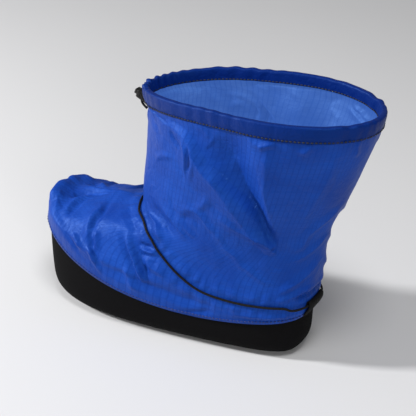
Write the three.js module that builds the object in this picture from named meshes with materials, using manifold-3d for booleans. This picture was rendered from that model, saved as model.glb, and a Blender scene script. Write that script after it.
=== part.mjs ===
// A winter overshoe: a ripstop shell with a drawcord collar, sewn to a turned-up grip-cloth sole.
// Millimetres. +X points to the toe, +Y to the wearer's left, +Z up.
// The origin is on the floor, at half the sole's length.
import * as THREE from "three";
import { mergeVertices } from "three/addons/utils/BufferGeometryUtils.js";
import Module from "manifold-3d";

const wasm = await Module();
wasm.setup();

// Foot and shaft
const footLength = 300; // the shell over the foot, heel to toe
const heelWidth = 98;
const ballWidth = 130;
const instepHeight = 120; // floor to the crook where the shaft leaves the foot
const shaftHeight = 135; // from there to the collar's edge
const collarLength = 236; // across the open collar, front to back
const collarWidth = 132;
const collarLean = 82; // how far the collar's middle lies behind the sole's middle
const toeSwing = 5; // how far the toe leans towards the inner side of this right shoe

// Cloth and foam
const shellWall = 1.2; // ripstop with its lining
const soleWall = 2.4; // grip cloth on its backing
const soleEdgeRadius = 18; // round between the floor and the sole's side
const toeSpring = 6;
const springStart = 0.2; // share of the foot's length, before its middle, where the toe spring starts
const footbedThickness = 6;
const footbedClearance = 0.5; // between the foam and the sole cloth
const gap = 0.3; // between pieces that touch

// Height of the sole's turned-up side
const sideHeightBack = 45;
const sideHeightMiddle = 25;
const sideHeightToe = 86;

// Collar casing: the shell's edge, folded over into a tunnel for the cord
const casingHeight = 15;
const casingWall = 0.9;
const casingProud = 0.8; // how far the casing stands out from the shell
const casingStep = 0.9; // height of the step at its lower edge
const foldRound = 1.8; // height of the round at its upper edge
const tunnelWidth = 3.6;
const tunnelInset = 2.3; // from the casing's edges to the tunnel, along the shell
const mouthWidth = 12.5; // opening at the front where both cord ends come out
const mouthHeight = 6.8;

// Cords
const cordDiameter = 2.2;
const cordPitch = 2.9; // between the two strands in a lock
const boreClearance = 0.5; // between a cord and what it runs through
const seatClearance = 0.7; // between a cord and the shell that it lies on
const cordSides = 8;

// Cord locks: a body with a cross slot for both strands, and a sprung button in a pocket
const lockHeight = 12.5; // along the button's way
const lockWidth = 10.6;
const lockDepth = 8.6; // along the cord's way
const lockRound = 1.8;
const pocketWidth = 7.9;
const pocketDepth = 5.2;
const pocketFloor = 1.4; // body left under the pocket
const buttonClearance = 0.3;
const buttonProud = 3;
const buttonTravel = 1.8;

// Heel tab: a strap folded over the cord and sewn into the sole seam
const tabWidth = 27;
const tabHeight = 13;
const tabStrap = 0.8;
const tabFootDepth = 2.6; // both layers of the strap at the seam

// Mesh density
const around = 44; // points round each ring, an even number
const footSteps = 3; // rows between two rings of the foot table
const shaftSteps = 2;
const ankleCordSteps = 27; // along each side of the shell
const collarCordSteps = 24;
const directionStep = 0.004; // of a turn or a place, to find directions on the shell

// A table of rows with named columns
function table(columns, rows) {
  return rows.map((row) => Object.fromEntries(columns.map((name, i) => [name, row[i]])));
}

// Rings of the shell. Each is a closed curve through a back point and a front point on the middle plane.
// Foot: x is a share of half the foot length, z of the instep height, widths of half the heel and ball
// widths. bluntBack and bluntFront square the ends off, curl keeps the rise of the ends from spreading to
// the sides, and swing is the share of the toe's lean.
const footColumns = [
  "backX", "backZ", "sideZ", "frontX", "frontZ", "heel", "ball", "bluntBack", "bluntFront", "curl", "swing",
];
const footRings = table(footColumns, [
  [-0.945, 0, 0, 0.965, 0, 0.98, 0.97, 2.9, 2.7, 2.8, 1],
  [-0.97, 0.52, 0.42, 0.93, 0.85, 1, 1, 2.9, 2.9, 2.4, 1],
  [-0.98, 0.62, 0.63, 0.91, 0.92, 0.98, 0.92, 2.8, 2.5, 4, 1],
  [-0.99, 0.72, 0.75, 0.8, 0.88, 0.97, 0.82, 2.6, 2.3, 2.2, 0.8],
  [-1, 0.82, 0.865, 0.58, 0.905, 0.97, 0.78, 2.4, 2.2, 1, 0.5],
  [-1.01, 0.92, 0.93, 0.38, 0.95, 0.97, 0.76, 2.2, 2.1, 1, 0.2],
]);
// Shaft: x is a share of half the collar length from the collar's middle, z of the shaft height above the
// instep, heel and fore are shares of half the collar width behind and before the middle.
const shaftColumns = ["back", "backZ", "sideZ", "front", "frontZ", "heel", "fore", "curl"];
const shaftRings = table(shaftColumns, [
  [-0.61, 0.02, 0, 1.02, 0, 0.73, 0.74, 1],
  [-0.655, 0.16, 0.15, 1.01, 0.13, 0.77, 0.76, 1],
  [-0.775, 0.4, 0.4, 0.98, 0.36, 0.87, 0.8, 1.5],
  [-0.885, 0.65, 0.65, 0.95, 0.58, 0.95, 0.84, 2],
  [-0.95, 0.81, 0.82, 0.935, 0.74, 0.99, 0.86, 2.4],
]);
// The collar's edge; the casing's lower edge lies one casing height below it.
const [collarEdge] = table(shaftColumns, [[-1, 1, 1, 0.98, 0.895, 1, 0.86, 2.8]]);
const shaftBlunt = 2; // plain ovals

// Along a ring, as shares from the back to the front: where the width grows from heel to ball,
// and where the toe leans
const widening = { start: 0.12, length: 0.6 };
const leaning = { start: 0.55, length: 0.45 };

// A row of the shaft table in millimetres
function shaftRow(r, drop) {
  return {
    backX: (r.back * collarLength) / 2 - collarLean,
    frontX: (r.front * collarLength) / 2 - collarLean,
    backZ: instepHeight + r.backZ * shaftHeight - drop,
    sideZ: instepHeight + r.sideZ * shaftHeight - drop,
    frontZ: instepHeight + r.frontZ * shaftHeight - drop,
    heel: (r.heel * collarWidth) / 2,
    ball: (r.fore * collarWidth) / 2,
    bluntBack: shaftBlunt,
    bluntFront: shaftBlunt,
    curl: r.curl,
    swing: 0,
  };
}

// The ring tables in millimetres, as one list from the sole seam to the collar's edge
function ringTable() {
  const foot = footRings.map((r, i) => ({
    backX: (r.backX * footLength) / 2,
    frontX: (r.frontX * footLength) / 2,
    backZ: i === 0 ? sideHeightBack : r.backZ * instepHeight,
    sideZ: i === 0 ? sideHeightMiddle : r.sideZ * instepHeight,
    frontZ: i === 0 ? sideHeightToe : r.frontZ * instepHeight,
    heel: (r.heel * heelWidth) / 2,
    ball: (r.ball * ballWidth) / 2,
    bluntBack: r.bluntBack,
    bluntFront: r.bluntFront,
    curl: r.curl,
    swing: r.swing * toeSwing,
  }));
  const shaft = shaftRings.map((r) => shaftRow(r, 0));
  const last = shaftRings[shaftRings.length - 1];
  const casingFoot = {
    ...collarEdge,
    back: (collarEdge.back + last.back) / 2,
    front: (collarEdge.front + last.front) / 2,
  };
  return [...foot, ...shaft, shaftRow(casingFoot, casingHeight), shaftRow(collarEdge, 0)];
}
const rings = ringTable();
const collarPlace = rings.length - 1;
const casingPlace = collarPlace - 1;
const anklePlace = footRings.length;

// The place of a height above the casing's lower edge
function casingRow(height) {
  return casingPlace + height / casingHeight;
}
const mouthPlace = casingRow(casingHeight / 2);

function smooth(x) {
  const t = Math.min(1, Math.max(0, x));
  return t * t * (3 - 2 * t);
}

// A column's value at a place in the ring list, on a smooth curve through its rows.
function column(name, place) {
  const last = rings.length - 1;
  const i = Math.min(Math.floor(place), last - 1);
  const s = place - i;
  const at = (k) => rings[Math.min(last, Math.max(0, k))][name];
  const a = at(i - 1);
  const b = at(i);
  const c = at(i + 1);
  const d = at(i + 2);
  return b + 0.5 * s * (c - a + s * (2 * a - 5 * b + 4 * c - d + s * (3 * (b - c) + d - a)));
}

// A point of the shell's outer face. turn runs from 0 at the front, over the left side, to 1;
// place is the place in the ring list.
function shellPoint(turn, place) {
  const angle = turn * 2 * Math.PI;
  const share = (1 + Math.cos(angle)) / 2; // 0 at the back, 1 at the front
  const heel = column("heel", place);
  const ball = column("ball", place);
  const blunt = column(share < 0.5 ? "bluntBack" : "bluntFront", place);
  const curl = column("curl", place);
  const sideZ = column("sideZ", place);
  const width = heel + (ball - heel) * smooth((share - widening.start) / widening.length);
  const end = Math.pow(1 - Math.pow(Math.abs(2 * share - 1), blunt), 1 / blunt);
  const swing = column("swing", place) * smooth((share - leaning.start) / leaning.length);
  return new THREE.Vector3(
    column("backX", place) + (column("frontX", place) - column("backX", place)) * share,
    Math.sign(Math.sin(angle)) * width * end + swing,
    sideZ
      + (column("backZ", place) - sideZ) * Math.pow(1 - share, curl)
      + (column("frontZ", place) - sideZ) * Math.pow(share, curl),
  );
}

// The direction along a ring, to the left at the front
function alongRing(turn, place) {
  const behind = shellPoint(turn - directionStep, place);
  return shellPoint(turn + directionStep, place).sub(behind).normalize();
}

// The shell's outward direction at a point, from its neighbours.
function shellNormal(turn, place) {
  const above = shellPoint(turn, Math.min(collarPlace, place + directionStep));
  const below = shellPoint(turn, Math.max(0, place - directionStep));
  return alongRing(turn, place).cross(above.sub(below)).normalize();
}

function offsetPoint(turn, place, distance) {
  return shellPoint(turn, place).addScaledVector(shellNormal(turn, place), distance);
}

function ring(place, distance) {
  return Array.from({ length: around }, (_, i) => offsetPoint(i / around, place, distance));
}

// Places of the rows from one ring to another, with the given number of rows between two rings.
function places(from, to, steps) {
  const count = Math.round((to - from) * steps);
  return Array.from({ length: count + 1 }, (_, i) => from + ((to - from) * i) / count);
}

// A closed mesh through a list of equal loops: capped at both ends, or joined from the last loop to the first
function meshThrough(loops, joined) {
  const n = loops[0].length;
  const points = loops.flat();
  const faces = [];
  const bands = joined ? loops.length : loops.length - 1;
  for (let r = 0; r < bands; r++) {
    const low = r * n;
    const high = ((r + 1) % loops.length) * n;
    for (let c = 0; c < n; c++) {
      const next = (c + 1) % n;
      faces.push(low + c, low + next, high + next, low + c, high + next, high + c);
    }
  }
  if (!joined) {
    const top = (loops.length - 1) * n;
    for (const end of [loops[0], loops[loops.length - 1]]) {
      points.push(end.reduce((sum, p) => sum.add(p), new THREE.Vector3()).divideScalar(n));
    }
    for (let c = 0; c < n; c++) {
      const next = (c + 1) % n;
      faces.push(points.length - 2, next, c, points.length - 1, top + c, top + next);
    }
  }
  const geometry = new THREE.BufferGeometry().setFromPoints(points);
  geometry.setIndex(faces);
  return geometry;
}

function solid(geometry) {
  const bare = geometry.clone();
  bare.deleteAttribute("normal");
  bare.deleteAttribute("uv");
  const merged = mergeVertices(bare, 1e-4);
  return new wasm.Manifold(new wasm.Mesh({
    numProp: 3,
    vertProperties: merged.attributes.position.array,
    triVerts: Uint32Array.from(merged.index.array),
  }));
}

function geometryOf(body) {
  const cut = body.getMesh();
  const geometry = new THREE.BufferGeometry();
  geometry.setAttribute("position", new THREE.BufferAttribute(cut.vertProperties, 3));
  geometry.setIndex(new THREE.BufferAttribute(cut.triVerts, 1));
  return geometry;
}

// The shell. Its wall is one skin up to the casing, where the edge folds out and in around the tunnel.
// These are distances from the shell's outer face, outward.
const tunnelOuter = casingProud - casingWall;
const tunnelInner = tunnelOuter - tunnelWidth;
const tunnelMiddle = (tunnelOuter + tunnelInner) / 2;
const casingInner = tunnelInner - casingWall;

function upper() {
  const shaft = places(anklePlace, casingPlace, shaftSteps).slice(1);
  const rows = [...places(0, anklePlace, footSteps), ...shaft];
  const face = (skin, casing, edge) => [
    ...rows.map((place) => ring(place, skin)),
    ring(casingRow(casingStep), casing),
    ring(casingRow(casingHeight - foldRound), casing),
    ring(collarPlace, edge),
  ];
  const outside = face(0, casingProud, tunnelOuter);
  const inside = face(-shellWall, casingInner, tunnelInner);
  const folded = solid(meshThrough([...outside, ...inside.reverse()], true));
  const low = casingRow(tunnelInset);
  const high = casingRow(casingHeight - tunnelInset);
  const tunnel = [[low, tunnelOuter], [high, tunnelOuter], [high, tunnelInner], [low, tunnelInner]];
  const bored = folded.subtract(solid(meshThrough(tunnel.map(([place, d]) => ring(place, d)), true)));
  const opening = box(tunnelWidth + 2 * casingWall, mouthWidth, mouthHeight);
  opening.translate(tunnelWidth / 2 + casingWall, 0, 0);
  opening.applyMatrix4(frameAt(0, mouthPlace, tunnelMiddle));
  return geometryOf(bored.subtract(solid(opening)));
}

// A frame on the shell: x out of the face, y along the ring to the left, z up the shell.
function frameAt(turn, place, distance) {
  const out = shellNormal(turn, place);
  const along = alongRing(turn, place);
  const up = out.clone().cross(along);
  return new THREE.Matrix4().makeBasis(out, along, up).setPosition(offsetPoint(turn, place, distance));
}

// Height of the underside above the floor
function toeLift(x) {
  return toeSpring * smooth((x / footLength - springStart) / (0.5 - springStart)) ** 2;
}

// A ring of the sole cloth's face: depth is its distance inside the sole's outer face. The turned-up side
// stands under the shell's outline, and an angle of 0 is at the top of its rounded edge, 90 on the floor.
function soleRing(depth, degrees) {
  const a = (degrees * Math.PI) / 180;
  const reach = shellWall + gap + soleEdgeRadius - (soleEdgeRadius - depth) * Math.cos(a);
  return Array.from({ length: around }, (_, i) => {
    const edge = shellPoint(i / around, 0);
    const out = shellNormal(i / around, 0).setZ(0).normalize();
    const point = edge.addScaledVector(out, -reach);
    point.z = toeLift(point.x) + soleEdgeRadius - (soleEdgeRadius - depth) * Math.sin(a);
    return point;
  });
}

// A ring of the flat underside or of a flat face above it, drawn in towards the middle.
function flatRing(depth, scale) {
  return soleRing(depth, 90).map((p) => {
    p.x *= scale;
    p.y *= scale;
    p.z = depth + toeLift(p.x);
    return p;
  });
}

const seamLap = 1 / footSteps; // the sole cloth runs on under the shell for one row
const flatScales = [0.15, 0.5, 0.8]; // rings of the flat underside
const edgeAngles = [90, 62, 34, 0]; // rings of its rounded edge

function outsole() {
  const tuck = shellWall + gap;
  const face = (depth) => [
    ...flatScales.map((scale) => flatRing(depth, scale)),
    ...edgeAngles.map((degrees) => soleRing(depth, degrees)),
    ring(0, -tuck - depth),
    ring(seamLap, -tuck - depth),
  ];
  return meshThrough([...face(0), ...face(soleWall).reverse()], false);
}

// The foam footbed lies in the sole cloth and follows its rounded edge.
function insole() {
  const depth = soleWall + footbedClearance;
  const top = depth + footbedThickness;
  const topAngle = (Math.asin((soleEdgeRadius - top) / (soleEdgeRadius - depth)) * 180) / Math.PI;
  const rim = soleRing(depth, topAngle);
  const topRings = flatScales.map((scale) => rim.map((p) => {
    const q = new THREE.Vector3(p.x * scale, p.y * scale, 0);
    return q.setZ(top + toeLift(q.x));
  }));
  return meshThrough([
    ...flatScales.map((scale) => flatRing(depth, scale)),
    ...[90, (90 + topAngle) / 2].map((degrees) => soleRing(depth, degrees)),
    rim,
    ...topRings.reverse(),
  ], false);
}

// A cord's route keeps its own steps: one for each of its points.
class CordRoute extends THREE.CatmullRomCurve3 {
  getUtoTmapping(u) {
    return u;
  }
}

function cord(points) {
  const section = new THREE.Shape();
  for (let i = 0; i < cordSides; i++) {
    const a = (i * 2 * Math.PI) / cordSides;
    const place = [(Math.cos(a) * cordDiameter) / 2, (Math.sin(a) * cordDiameter) / 2];
    if (i === 0) section.moveTo(...place);
    else section.lineTo(...place);
  }
  section.closePath();
  return new THREE.ExtrudeGeometry(section, {
    steps: points.length - 1,
    curveSegments: 1,
    extrudePath: new CordRoute(points),
  });
}

// Points between the rows of a route on the shell, in turn and place, so that the cord follows the shell
function routeOnShell(rows, count) {
  const spread = 60; // weighs a turn against a place, so that the curve runs evenly
  const points = rows.map((r) => new THREE.Vector3(r.turn * spread, r.place, r.height));
  return new THREE.CatmullRomCurve3(points).getPoints(count).map((p) => offsetPoint(p.x / spread, p.y, p.z));
}

function box(x, y, z) {
  return new THREE.BoxGeometry(x, y, z);
}

// Cord lock, about its middle: x is the cord's way, z the button's way.
const slotWidth = cordPitch + cordDiameter + 2 * boreClearance;
const slotHeight = cordDiameter + 2 * boreClearance;
const pocketBottom = pocketFloor - lockHeight / 2;

function lockBody() {
  const y = lockWidth / 2 - lockRound;
  const z = lockHeight / 2 - lockRound;
  const outline = new THREE.Shape();
  [[y, z], [-y, z], [-y, -z], [y, -z]].forEach(([across, up], i) => {
    outline.absarc(across, up, lockRound / 2, (i * Math.PI) / 2, ((i + 1) * Math.PI) / 2);
  });
  const block = new THREE.ExtrudeGeometry(outline, {
    depth: lockDepth - lockRound,
    curveSegments: 2,
    bevelSize: lockRound / 2,
    bevelThickness: lockRound / 2,
    bevelSegments: 2,
  });
  block.translate(0, 0, -(lockDepth - lockRound) / 2);
  block.rotateZ(Math.PI / 2);
  block.rotateY(Math.PI / 2);
  block.rotateX(Math.PI / 2);
  const slot = box(2 * lockDepth, slotWidth, slotHeight);
  const pocket = box(pocketDepth, pocketWidth, lockHeight);
  pocket.translate(0, 0, pocketBottom + lockHeight / 2);
  return solid(block).subtract(solid(slot)).subtract(solid(pocket));
}

function lockButton() {
  const bottom = pocketBottom + buttonTravel + buttonClearance;
  const top = lockHeight / 2 + buttonProud;
  const stem = box(pocketDepth - 2 * buttonClearance, pocketWidth - 2 * buttonClearance, top - bottom);
  stem.translate(0, 0, (top + bottom) / 2);
  const slot = box(2 * lockDepth, slotWidth, slotHeight + buttonTravel);
  slot.translate(0, 0, buttonTravel / 2);
  return solid(stem).subtract(solid(slot));
}

// Ankle cord, from its lock past the crook and down to the heel tab. A route's height is the cord's middle
// above the shell.
const cordSeat = cordDiameter / 2 + seatClearance;
const lockStand = 3.4; // room for the strands to turn between the shell and a lock
const ankleLockTurn = -0.05;
const strandTurn = 0.045; // from the lock's middle to where a strand meets the shell
const strandPlace = anklePlace - 0.1;
const ankleLock = frameAt(ankleLockTurn, anklePlace, cordSeat + lockStand + lockDepth / 2);

// Heel tab, by its height above the sole seam and its distance across the heel
const tabBoreRadius = cordDiameter / 2 + boreClearance;
const tabCordHeight = tabHeight - tabStrap - tabBoreRadius;
const tabCordDepth = gap + tabStrap + tabBoreRadius;
const tabDepth = tabCordDepth + tabBoreRadius + tabStrap;
const tabLead = 0.65; // share of the tab's width, from its middle to where the cord leaves the shell
const tabShares = [-1, -0.5, 0, 0.5, 1]; // sections across the tab
const boreSides = 8;
const boreOverrun = 1.3; // the cutter is this many times as wide as the tab

// The turn behind the middle whose point lies a distance across from the middle plane, by halving
const halvings = 30;
function turnAcross(y, place) {
  let low = 0.25;
  let high = 0.5;
  for (let i = 0; i < halvings; i++) {
    const middle = (low + high) / 2;
    if (shellPoint(middle, place).y > Math.abs(y)) low = middle;
    else high = middle;
  }
  return y < 0 ? 1 - low : low;
}

function heelPlace(height) {
  return height / (rings[1].backZ - rings[0].backZ);
}

function heelTab() {
  const sheet = (outline, reach) => meshThrough(tabShares.map((share) => {
    const y = (-share * reach) / 2;
    return outline.map(([height, distance]) => {
      const place = heelPlace(height);
      return offsetPoint(turnAcross(y, place), place, distance);
    });
  }), false);
  const strap = [
    [gap, gap],
    [tabCordHeight, gap],
    [tabHeight - tabStrap / 2, gap + tabStrap / 2],
    [tabHeight, tabDepth / 2],
    [tabHeight - tabStrap / 2, tabDepth - tabStrap / 2],
    [tabCordHeight, tabDepth],
    [tabCordHeight / 2, (tabDepth + tabFootDepth) / 2],
    [gap, tabFootDepth],
  ];
  const bore = Array.from({ length: boreSides }, (_, i) => {
    const a = ((i + 0.5) * 2 * Math.PI) / boreSides;
    const radius = tabBoreRadius / Math.cos(Math.PI / boreSides);
    return [tabCordHeight + radius * Math.sin(a), tabCordDepth - radius * Math.cos(a)];
  });
  const cutter = solid(sheet(bore, tabWidth * boreOverrun));
  return geometryOf(solid(sheet(strap, tabWidth)).subtract(cutter));
}

// Points given in a frame, on its left for a sign of 1 and on its right for -1
function inFrame(points, frame, sign) {
  return points.map(([x, y, z]) => new THREE.Vector3(x, sign * y, z).applyMatrix4(frame));
}

// A strand's way through a lock to its tail's end, in the lock's own frame, for the side given by sign
function strand(lock, tail, sign) {
  const inLock = [0.5, 0, -0.5].map((share) => [share * lockDepth, cordPitch / 2, 0]);
  return inFrame([...tail, ...inLock], lock, sign);
}

const ankleTail = [[13.2, 7.6, 1.6], [10.6, 5.4, 1.2], [8, 3.4, 0.6], [6, 2, 0.2]];
const ankleBend = [[-5.6, 1.7, 0], [-7, 2.8, 0]];
const ankleRoute = [
  { turn: 0.05, place: 5.75 },
  { turn: 0.09, place: 5.5 },
  { turn: 0.14, place: 5.1 },
  { turn: 0.2, place: 4.05 },
  { turn: 0.245, place: 2.95 },
  { turn: 0.28, place: 1.97 },
  { turn: 0.31, place: 1.4 },
  { turn: 0.35, place: 1.03 },
  { turn: 0.39, place: 0.92 },
  { turn: 0.43, place: 0.8 },
];

function ankleCord() {
  const place = heelPlace(tabCordHeight);
  const half = (sign) => {
    const start = ankleLockTurn + sign * strandTurn;
    const ahead = ankleRoute.filter((r) => r.turn > Math.abs(start) + strandTurn / 2);
    const route = routeOnShell([
      { turn: start, place: strandPlace, height: cordSeat },
      ...ahead.map((r) => ({ turn: sign * r.turn, place: r.place, height: cordSeat })),
      { turn: sign * turnAcross(tabLead * tabWidth, place), place, height: tabCordDepth },
      { turn: sign * 0.5, place, height: tabCordDepth },
    ], ankleCordSteps);
    return [...strand(ankleLock, ankleTail, sign), ...inFrame(ankleBend, ankleLock, sign), ...route];
  };
  return cord([...half(1), ...half(-1).slice(0, -1).reverse()]);
}

// Collar cord, in the casing's tunnel, out of its mouth at the front and through the hanging lock
const lockDroop = 1; // radians that the lock is turned down
const lockDrop = 4.5; // how far it hangs below the casing's mouth
const mouth = frameAt(0, mouthPlace, 0);

function collarLockFrame() {
  const across = (lockDepth / 2) * Math.cos(lockDroop) + (lockHeight / 2) * Math.sin(lockDroop);
  const down = (lockDepth / 2) * Math.sin(lockDroop);
  const place = new THREE.Matrix4().makeTranslation(casingProud + gap + across, 0, -lockDrop - down);
  return mouth.clone().multiply(place).multiply(new THREE.Matrix4().makeRotationY(lockDroop));
}
const collarLock = collarLockFrame();
const collarTail = [[8, 3.4, -9.4], [8.4, 2.6, -6.2], [8, 2, -3.4], [7, 1.6, -1.2], [5.6, 1.45, -0.1]];
const collarBend = [[5.6, 1.45, -2.6], [4.3, 1.5, -1], [2.6, 1.8, -0.1], [0.8, 2.4, 0.1], [-1.2, 3.4, 0]];
const collarTurns = [0.02, 0.06, 0.12, 0.2, 0.3, 0.4, 0.5];

function collarCord() {
  const half = (sign) => {
    const rows = collarTurns.map((turn) => ({ turn: sign * turn, place: mouthPlace, height: tunnelMiddle }));
    const route = routeOnShell(rows, collarCordSteps);
    return [...strand(collarLock, collarTail, sign), ...inFrame(collarBend, mouth, sign), ...route];
  };
  return cord([...half(1), ...half(-1).slice(0, -1).reverse()]);
}

function look(color, roughness) {
  return { color, roughness, metalness: 0 };
}

function piece(name, geometry, finish) {
  const made = new THREE.Mesh(geometry, new THREE.MeshStandardMaterial(finish));
  made.name = name;
  return made;
}

const shellCloth = look(0x1c3f9a, 0.45);
const soleCloth = look(0x19191b, 0.9);
const foam = look(0x2a2a2c, 0.95);
const webbing = look(0x141416, 0.85);
const braid = look(0x1d1d22, 0.8);
const moulding = look(0x101012, 0.4);

const shoe = new THREE.Group();
shoe.add(piece("outsole", outsole(), soleCloth));
shoe.add(piece("insole", insole(), foam));
shoe.add(piece("upper", upper(), shellCloth));
shoe.add(piece("heel_tab", heelTab(), webbing));
shoe.add(piece("ankle_cord", ankleCord(), braid));
shoe.add(piece("collar_cord", collarCord(), braid));
for (const [name, frame] of [["ankle", ankleLock], ["collar", collarLock]]) {
  const lock = new THREE.Group();
  lock.applyMatrix4(frame);
  lock.add(piece(`${name}_lock_body`, geometryOf(lockBody()), moulding));
  lock.add(piece(`${name}_lock_button`, geometryOf(lockButton()), moulding));
  shoe.add(lock);
}

export default shoe;
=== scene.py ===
import math

import bpy
import numpy as np
from mathutils import Matrix, Vector, noise


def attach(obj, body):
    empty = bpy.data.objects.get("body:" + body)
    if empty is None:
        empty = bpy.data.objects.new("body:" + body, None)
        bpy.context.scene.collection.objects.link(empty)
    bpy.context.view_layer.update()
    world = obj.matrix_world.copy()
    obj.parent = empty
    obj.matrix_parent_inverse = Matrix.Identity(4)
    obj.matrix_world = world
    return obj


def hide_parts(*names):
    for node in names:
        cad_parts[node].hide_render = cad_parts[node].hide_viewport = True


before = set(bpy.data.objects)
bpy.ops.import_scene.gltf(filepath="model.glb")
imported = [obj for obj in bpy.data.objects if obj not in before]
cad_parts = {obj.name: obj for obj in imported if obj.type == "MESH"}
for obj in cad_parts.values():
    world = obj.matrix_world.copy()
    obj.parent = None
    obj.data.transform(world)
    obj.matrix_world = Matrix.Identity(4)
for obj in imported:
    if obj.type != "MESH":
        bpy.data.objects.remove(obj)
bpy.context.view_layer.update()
bpy.ops.object.select_all(action="DESELECT")

# The shoe's own sizes, in millimetres. A turn runs from 0 at the front, over the left side, to 1.
# A place is a place in the list of rings, 0 at the sole seam and 12 at the collar's edge.
shoe = {
    "footLength": 300,
    "heelWidth": 98,
    "ballWidth": 130,
    "instepHeight": 120,
    "shaftHeight": 135,
    "collarLength": 236,
    "collarWidth": 132,
    "collarLean": 82,
    "toeSwing": 5,
    "seamHeight": (45, 25, 86),  # at heel, side and toe
    "casingHeight": 15,
    "wall": 1.2,
    "ankle": 6,  # place of the crook
    "casing": 11,  # place of the casing's lower edge
    "collar": 12,
}

# backX, backZ, sideZ, frontX, frontZ, heel, ball, bluntBack, bluntFront, curl, swing
footRings = [
    (-0.945, 0, 0, 0.965, 0, 0.98, 0.97, 2.9, 2.7, 2.8, 1),
    (-0.97, 0.52, 0.42, 0.93, 0.85, 1, 1, 2.9, 2.9, 2.4, 1),
    (-0.98, 0.62, 0.63, 0.91, 0.92, 0.98, 0.92, 2.8, 2.5, 4, 1),
    (-0.99, 0.72, 0.75, 0.8, 0.88, 0.97, 0.82, 2.6, 2.3, 2.2, 0.8),
    (-1, 0.82, 0.865, 0.58, 0.905, 0.97, 0.78, 2.4, 2.2, 1, 0.5),
    (-1.01, 0.92, 0.93, 0.38, 0.95, 0.97, 0.76, 2.2, 2.1, 1, 0.2),
]
# back, backZ, sideZ, front, frontZ, heel, fore, curl
shaftRings = [
    (-0.61, 0.02, 0, 1.02, 0, 0.73, 0.74, 1),
    (-0.655, 0.16, 0.15, 1.01, 0.13, 0.77, 0.76, 1),
    (-0.775, 0.4, 0.4, 0.98, 0.36, 0.87, 0.8, 1.5),
    (-0.885, 0.65, 0.65, 0.95, 0.58, 0.95, 0.84, 2),
    (-0.95, 0.81, 0.82, 0.935, 0.74, 0.99, 0.86, 2.4),
    (-0.975, 1, 1, 0.9575, 0.895, 1, 0.86, 2.8),  # the casing's lower edge, one casing height lower
    (-1, 1, 1, 0.98, 0.895, 1, 0.86, 2.8),
]


def ringTable():
    heelSeam, sideSeam, toeSeam = shoe["seamHeight"]
    table = []
    for i, (backX, backZ, sideZ, frontX, frontZ, heel, ball, bluntBack, bluntFront, curl, swing) in enumerate(footRings):
        table.append((
            backX * shoe["footLength"] / 2,
            heelSeam if i == 0 else backZ * shoe["instepHeight"],
            sideSeam if i == 0 else sideZ * shoe["instepHeight"],
            frontX * shoe["footLength"] / 2,
            toeSeam if i == 0 else frontZ * shoe["instepHeight"],
            heel * shoe["heelWidth"] / 2,
            ball * shoe["ballWidth"] / 2,
            bluntBack, bluntFront, curl, swing * shoe["toeSwing"],
        ))
    for i, (back, backZ, sideZ, front, frontZ, heel, fore, curl) in enumerate(shaftRings):
        drop = shoe["casingHeight"] if i == 5 else 0
        table.append((
            back * shoe["collarLength"] / 2 - shoe["collarLean"],
            shoe["instepHeight"] + backZ * shoe["shaftHeight"] - drop,
            shoe["instepHeight"] + sideZ * shoe["shaftHeight"] - drop,
            front * shoe["collarLength"] / 2 - shoe["collarLean"],
            shoe["instepHeight"] + frontZ * shoe["shaftHeight"] - drop,
            heel * shoe["collarWidth"] / 2,
            fore * shoe["collarWidth"] / 2,
            2, 2, curl, 0,
        ))
    return np.array(table, float)


rings = ringTable()


def smooth(x):
    t = np.clip(x, 0, 1)
    return t * t * (3 - 2 * t)


def shellPoint(turn, place):
    turn, place = np.broadcast_arrays(np.asarray(turn, float), np.asarray(place, float))
    last = len(rings) - 1
    i = np.minimum(np.floor(place).astype(int), last - 1)
    s = (place - i)[..., None]
    a, b, c, d = (rings[np.clip(i + k, 0, last)] for k in (-1, 0, 1, 2))
    row = b + 0.5 * s * (c - a + s * (2 * a - 5 * b + 4 * c - d + s * (3 * (b - c) + d - a)))
    backX, backZ, sideZ, frontX, frontZ, heel, ball, bluntBack, bluntFront, curl, swing = np.moveaxis(row, -1, 0)
    angle = turn * 2 * math.pi
    share = (1 + np.cos(angle)) / 2  # 0 at the back, 1 at the front
    width = heel + (ball - heel) * smooth((share - 0.12) / 0.6)
    blunt = np.where(share < 0.5, bluntBack, bluntFront)
    end = np.clip(1 - np.abs(2 * share - 1) ** blunt, 0, 1) ** (1 / blunt)
    x = backX + (frontX - backX) * share
    y = np.sign(np.sin(angle)) * width * end + swing * smooth((share - 0.55) / 0.45)
    z = sideZ + (backZ - sideZ) * (1 - share) ** curl + (frontZ - sideZ) * share ** curl
    return np.stack([x, y, z], -1)


def unit(v):
    return v / np.linalg.norm(v, axis=-1, keepdims=True)


def shellNormal(turn, place):
    step = 0.004
    along = shellPoint(turn + step, place) - shellPoint(turn - step, place)
    up = shellPoint(turn, np.minimum(place + step, shoe["collar"])) - shellPoint(turn, np.maximum(place - step, 0))
    return unit(np.cross(unit(along), unit(up)))


def frameAt(turn, place, distance):  # x out of the shell, y along the ring to the left, z up
    out = shellNormal(turn, place)
    along = unit(shellPoint(turn + 0.004, place) - shellPoint(turn - 0.004, place))
    return np.stack([out, along, np.cross(out, along)], -1), shellPoint(turn, place) + out * distance


def curveThrough(points, count):  # a smooth curve through the points, evenly in their number
    points = np.asarray(points, float)
    last = len(points) - 1
    at = np.linspace(0, last, count)
    i = np.minimum(at.astype(int), last - 1)
    s = (at - i)[:, None]
    a, b, c, d = (points[np.clip(i + k, 0, last)] for k in (-1, 0, 1, 2))
    return b + 0.5 * s * (c - a + s * (2 * a - 5 * b + 4 * c - d + s * (3 * (b - c) + d - a)))


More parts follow.
